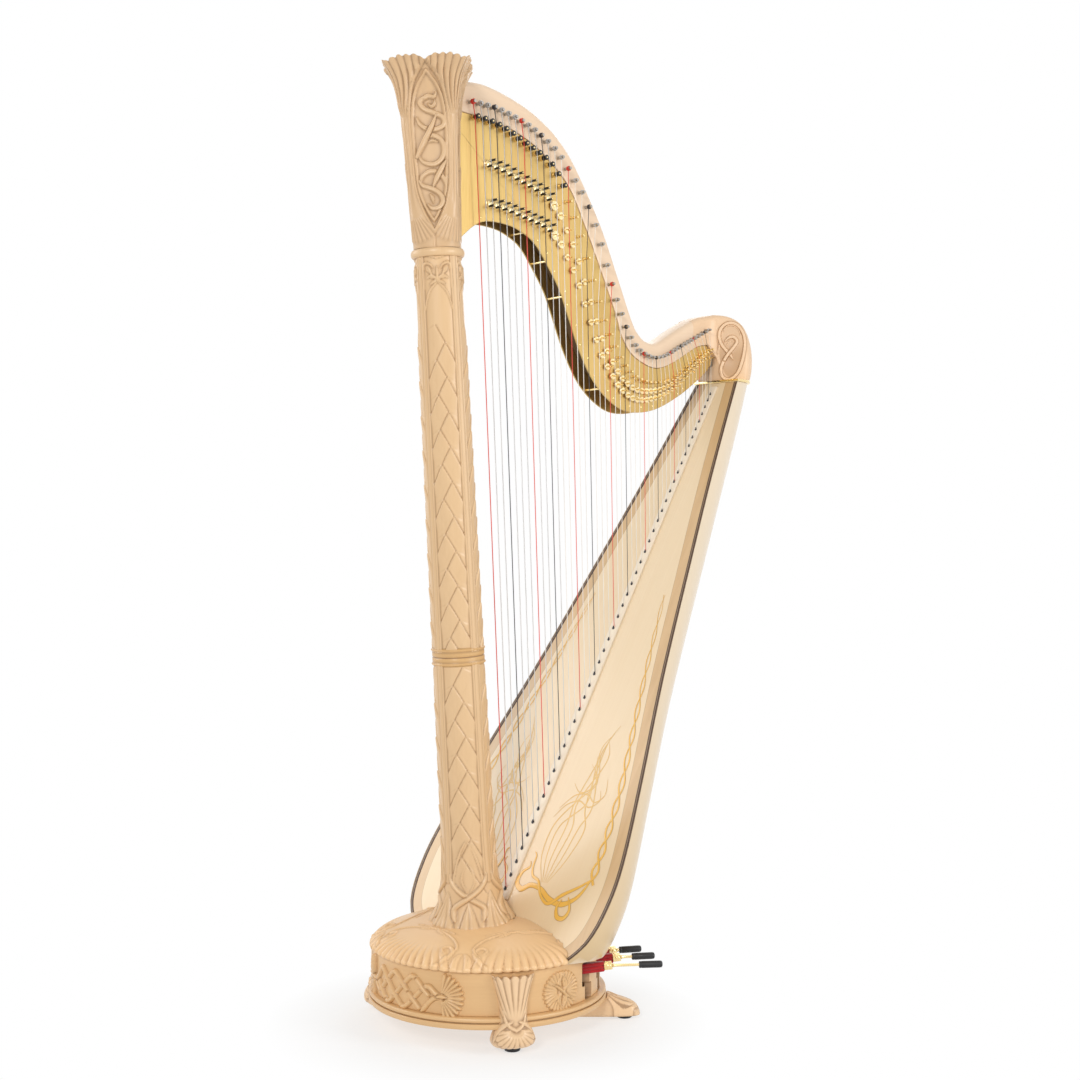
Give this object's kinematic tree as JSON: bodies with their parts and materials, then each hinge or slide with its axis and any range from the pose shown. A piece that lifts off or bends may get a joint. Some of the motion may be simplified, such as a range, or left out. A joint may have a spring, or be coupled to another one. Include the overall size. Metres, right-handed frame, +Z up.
{
  "type": "pedal harp",
  "caption": "Concert pedal harp in pale carved wood with a domed base, fluted capital, soundbox, brass action and folding pedals.",
  "frame": {"origin": "middle of the harp's bounding box, on the floor", "axes": "+X from the column to the player, +Y to the player's side away from the strings' action, +Z up"},
  "size_m": [1.072, 0.6254, 1.8686],
  "materials": {
    "action_plate_left": "brushed",
    "action_plate_right": "brushed",
    "base_dome": "satin carved",
    "base_drum": "satin carved",
    "base_floor": "satin carved",
    "binding_left": "satin",
    "binding_right": "satin",
    "column_capital": "satin carved",
    "column_shaft": "satin carved",
    "disc_lower_A": "polished",
    "disc_lower_B": "polished",
    "disc_lower_C": "polished",
    "disc_lower_D": "polished",
    "disc_lower_E": "polished",
    "disc_lower_F": "polished",
    "disc_lower_G": "polished",
    "disc_upper_A": "polished",
    "disc_upper_B": "polished",
    "disc_upper_C": "polished",
    "disc_upper_D": "polished",
    "disc_upper_E": "polished",
    "disc_upper_F": "polished",
    "disc_upper_G": "polished",
    "foot_front_left": "satin carved",
    "foot_front_right": "satin carved",
    "foot_rear_left": "satin carved",
    "foot_rear_right": "satin carved",
    "neck": "satin",
    "pad_front_left": "matt",
    "pad_front_right": "matt",
    "pad_rear_left": "matt",
    "pad_rear_right": "matt",
    "pedal_arm_A": "polished",
    "pedal_arm_B": "polished",
    "pedal_arm_C": "polished",
    "pedal_arm_D": "polished",
    "pedal_arm_E": "polished",
    "pedal_arm_F": "polished",
    "pedal_arm_G": "polished",
    "pedal_bracket": "cast",
    "pedal_foot_A": "polished",
    "pedal_foot_B": "polished",
    "pedal_foot_C": "polished",
    "pedal_foot_D": "polished",
    "pedal_foot_E": "polished",
    "pedal_foot_F": "polished",
    "pedal_foot_G": "polished",
    "pedal_pad_A": "matt",
    "pedal_pad_B": "matt",
    "pedal_pad_C": "matt",
    "pedal_pad_D": "matt",
    "pedal_pad_E": "matt",
    "pedal_pad_F": "matt",
    "pedal_pad_G": "matt",
    "shoulder_block": "satin",
    "shoulder_collar": "polished",
    "soundboard": "satin lacquer",
    "soundbox_shell": "satin lacquer",
    "string_rib": "satin"
  },
  "bodies": {
    "harp": {"action_plate_left": "action_plate_left", "action_plate_right": "action_plate_right", "base_dome": "base_dome", "base_drum": "base_drum", "base_floor": "base_floor", "binding_left": "binding_left", "binding_right": "binding_right", "column_capital": "column_capital", "column_shaft": "column_shaft", "foot_front_left": "foot_front_left", "foot_front_right": "foot_front_right", "foot_rear_left": "foot_rear_left", "foot_rear_right": "foot_rear_right", "neck": "neck", "pad_front_left": "pad_front_left", "pad_front_right": "pad_front_right", "pad_rear_left": "pad_rear_left", "pad_rear_right": "pad_rear_right", "pedal_bracket": "pedal_bracket", "shoulder_block": "shoulder_block", "shoulder_collar": "shoulder_collar", "soundboard": "soundboard", "soundbox_shell": "soundbox_shell", "string_rib": "string_rib"},
    "pedal_D": {"pedal_arm_D": "pedal_arm_D"},
    "pedal_foot_D": {"pedal_foot_D": "pedal_foot_D", "pedal_pad_D": "pedal_pad_D"},
    "pedal_C": {"pedal_arm_C": "pedal_arm_C"},
    "pedal_foot_C": {"pedal_foot_C": "pedal_foot_C", "pedal_pad_C": "pedal_pad_C"},
    "pedal_B": {"pedal_arm_B": "pedal_arm_B"},
    "pedal_foot_B": {"pedal_foot_B": "pedal_foot_B", "pedal_pad_B": "pedal_pad_B"},
    "pedal_E": {"pedal_arm_E": "pedal_arm_E"},
    "pedal_foot_E": {"pedal_foot_E": "pedal_foot_E", "pedal_pad_E": "pedal_pad_E"},
    "pedal_F": {"pedal_arm_F": "pedal_arm_F"},
    "pedal_foot_F": {"pedal_foot_F": "pedal_foot_F", "pedal_pad_F": "pedal_pad_F"},
    "pedal_G": {"pedal_arm_G": "pedal_arm_G"},
    "pedal_foot_G": {"pedal_foot_G": "pedal_foot_G", "pedal_pad_G": "pedal_pad_G"},
    "pedal_A": {"pedal_arm_A": "pedal_arm_A"},
    "pedal_foot_A": {"pedal_foot_A": "pedal_foot_A", "pedal_pad_A": "pedal_pad_A"},
    "disc_upper_C": {"disc_upper_C": "disc_upper_C"},
    "disc_lower_C": {"disc_lower_C": "disc_lower_C"},
    "disc_upper_D": {"disc_upper_D": "disc_upper_D"},
    "disc_lower_D": {"disc_lower_D": "disc_lower_D"},
    "disc_upper_E": {"disc_upper_E": "disc_upper_E"},
    "disc_lower_E": {"disc_lower_E": "disc_lower_E"},
    "disc_upper_F": {"disc_upper_F": "disc_upper_F"},
    "disc_lower_F": {"disc_lower_F": "disc_lower_F"},
    "disc_upper_G": {"disc_upper_G": "disc_upper_G"},
    "disc_lower_G": {"disc_lower_G": "disc_lower_G"},
    "disc_upper_A": {"disc_upper_A": "disc_upper_A"},
    "disc_lower_A": {"disc_lower_A": "disc_lower_A"},
    "disc_upper_B": {"disc_upper_B": "disc_upper_B"},
    "disc_lower_B": {"disc_lower_B": "disc_lower_B"}
  },
  "joints": [
    {"name": "press_D", "type": "hinge", "parent": "harp", "child": "pedal_D", "pos_m": [-0.2931, -0.13995, 0.113], "axis": [0.6561, 0.7547, 0], "range_deg": [0, 14], "stiffness_Nm_per_rad": 6, "springref_deg": -28.65},
    {"name": "fold_D", "type": "hinge", "parent": "pedal_D", "child": "pedal_foot_D", "pos_m": [-0.17722, -0.24068, 0.12914], "axis": [-0.6561, -0.7547, 0], "range_deg": [0, 55]},
    {"name": "press_C", "type": "hinge", "parent": "harp", "child": "pedal_C", "pos_m": [-0.23421, -0.12107, 0.113], "axis": [0.6018, 0.7986, 0], "range_deg": [0, 14], "stiffness_Nm_per_rad": 6, "springref_deg": -28.65},
    {"name": "fold_C", "type": "hinge", "parent": "pedal_C", "child": "pedal_foot_C", "pos_m": [-0.11891, -0.20796, 0.12817], "axis": [-0.6018, -0.7986, 0], "range_deg": [0, 60]},
    {"name": "press_B", "type": "hinge", "parent": "harp", "child": "pedal_B", "pos_m": [-0.19707, -0.08935, 0.113], "axis": [0.5519, 0.8339, 0], "range_deg": [0, 14], "stiffness_Nm_per_rad": 6, "springref_deg": -28.65},
    {"name": "fold_B", "type": "hinge", "parent": "pedal_B", "child": "pedal_foot_B", "pos_m": [-0.08392, -0.16425, 0.12726], "axis": [-0.5519, -0.8339, 0], "range_deg": [0, 80]},
    {"name": "press_E", "type": "hinge", "parent": "harp", "child": "pedal_E", "pos_m": [-0.178, 0.05903, 0.113], "axis": [-0.4067, 0.9135, 0], "range_deg": [0, 14], "stiffness_Nm_per_rad": 6, "springref_deg": -28.65},
    {"name": "fold_E", "type": "hinge", "parent": "pedal_E", "child": "pedal_foot_E", "pos_m": [-0.05056, 0.11577, 0.12766], "axis": [0.4067, -0.9135, 0], "range_deg": [0, 85]},
    {"name": "press_F", "type": "hinge", "parent": "harp", "child": "pedal_F", "pos_m": [-0.19707, 0.08935, 0.113], "axis": [-0.5519, 0.8339, 0], "range_deg": [0, 14], "stiffness_Nm_per_rad": 6, "springref_deg": -28.65},
    {"name": "fold_F", "type": "hinge", "parent": "pedal_F", "child": "pedal_foot_F", "pos_m": [-0.08392, 0.16425, 0.12726], "axis": [0.5519, -0.8339, 0], "range_deg": [0, 80]},
    {"name": "press_G", "type": "hinge", "parent": "harp", "child": "pedal_G", "pos_m": [-0.23421, 0.12107, 0.113], "axis": [-0.6018, 0.7986, 0], "range_deg": [0, 14], "stiffness_Nm_per_rad": 6, "springref_deg": -28.65},
    {"name": "fold_G", "type": "hinge", "parent": "pedal_G", "child": "pedal_foot_G", "pos_m": [-0.11891, 0.20796, 0.12817], "axis": [0.6018, -0.7986, 0], "range_deg": [0, 60]},
    {"name": "press_A", "type": "hinge", "parent": "harp", "child": "pedal_A", "pos_m": [-0.2931, 0.13995, 0.113], "axis": [-0.6561, 0.7547, 0], "range_deg": [0, 14], "stiffness_Nm_per_rad": 6, "springref_deg": -28.65},
    {"name": "fold_A", "type": "hinge", "parent": "pedal_A", "child": "pedal_foot_A", "pos_m": [-0.17722, 0.24068, 0.12914], "axis": [0.6561, -0.7547, 0], "range_deg": [0, 55]},
    {"name": "turn_upper_C", "type": "hinge", "parent": "harp", "child": "disc_upper_C", "pos_m": [-0.04211, 0.0085, 1.59486], "axis": [0, -1, 0], "range_deg": [0, 45.01]},
    {"name": "turn_lower_C", "type": "hinge", "parent": "harp", "child": "disc_lower_C", "pos_m": [-0.04027, 0.0085, 1.53837], "axis": [0, -1, 0], "range_deg": [0, 45.01]},
    {"name": "turn_upper_D", "type": "hinge", "parent": "harp", "child": "disc_upper_D", "pos_m": [-0.02413, 0.0085, 1.56726], "axis": [0, -1, 0], "range_deg": [0, 45.01]},
    {"name": "turn_lower_D", "type": "hinge", "parent": "harp", "child": "disc_lower_D", "pos_m": [-0.02246, 0.0085, 1.51368], "axis": [0, -1, 0], "range_deg": [0, 45.01]},
    {"name": "turn_upper_E", "type": "hinge", "parent": "harp", "child": "disc_upper_E", "pos_m": [-0.00619, 0.0085, 1.53391], "axis": [0, -1, 0], "range_deg": [0, 45.01]},
    {"name": "turn_lower_E", "type": "hinge", "parent": "harp", "child": "disc_lower_E", "pos_m": [-0.00469, 0.0085, 1.48355], "axis": [0, -1, 0], "range_deg": [0, 45.01]},
    {"name": "turn_upper_F", "type": "hinge", "parent": "harp", "child": "disc_upper_F", "pos_m": [0.01175, 0.0085, 1.49313], "axis": [0, -1, 0], "range_deg": [0, 45.01]},
    {"name": "turn_lower_F", "type": "hinge", "parent": "harp", "child": "disc_lower_F", "pos_m": [0.01307, 0.0085, 1.4464], "axis": [0, -1, 0], "range_deg": [0, 45.01]},
    {"name": "turn_upper_G", "type": "hinge", "parent": "harp", "child": "disc_upper_G", "pos_m": [0.02944, 0.0085, 1.45255], "axis": [0, -1, 0], "range_deg": [0, 45.01]},
    {"name": "turn_lower_G", "type": "hinge", "parent": "harp", "child": "disc_lower_G", "pos_m": [0.03061, 0.0085, 1.40945], "axis": [0, -1, 0], "range_deg": [0, 45.01]},
    {"name": "turn_upper_A", "type": "hinge", "parent": "harp", "child": "disc_upper_A", "pos_m": [0.04688, 0.0085, 1.41307], "axis": [0, -1, 0], "range_deg": [0, 45.01]},
    {"name": "turn_lower_A", "type": "hinge", "parent": "harp", "child": "disc_lower_A", "pos_m": [0.0479, 0.0085, 1.37352], "axis": [0, -1, 0], "range_deg": [0, 45.01]},
    {"name": "turn_upper_B", "type": "hinge", "parent": "harp", "child": "disc_upper_B", "pos_m": [0.06397, 0.0085, 1.37854], "axis": [0, -1, 0], "range_deg": [0, 45.01]},
    {"name": "turn_lower_B", "type": "hinge", "parent": "harp", "child": "disc_lower_B", "pos_m": [0.06485, 0.0085, 1.34227], "axis": [0, -1, 0], "range_deg": [0, 45.01]}
  ],
  "couplings": [
    {"joint": "turn_upper_C", "follows": "press_C", "ratio": 3.2143},
    {"joint": "turn_lower_C", "follows": "press_C", "ratio": 3.2143},
    {"joint": "turn_upper_D", "follows": "press_D", "ratio": 3.2143},
    {"joint": "turn_lower_D", "follows": "press_D", "ratio": 3.2143},
    {"joint": "turn_upper_E", "follows": "press_E", "ratio": 3.2143},
    {"joint": "turn_lower_E", "follows": "press_E", "ratio": 3.2143},
    {"joint": "turn_upper_F", "follows": "press_F", "ratio": 3.2143},
    {"joint": "turn_lower_F", "follows": "press_F", "ratio": 3.2143},
    {"joint": "turn_upper_G", "follows": "press_G", "ratio": 3.2143},
    {"joint": "turn_lower_G", "follows": "press_G", "ratio": 3.2143},
    {"joint": "turn_upper_A", "follows": "press_A", "ratio": 3.2143},
    {"joint": "turn_lower_A", "follows": "press_A", "ratio": 3.2143},
    {"joint": "turn_upper_B", "follows": "press_B", "ratio": 3.2143},
    {"joint": "turn_lower_B", "follows": "press_B", "ratio": 3.2143}
  ]
}
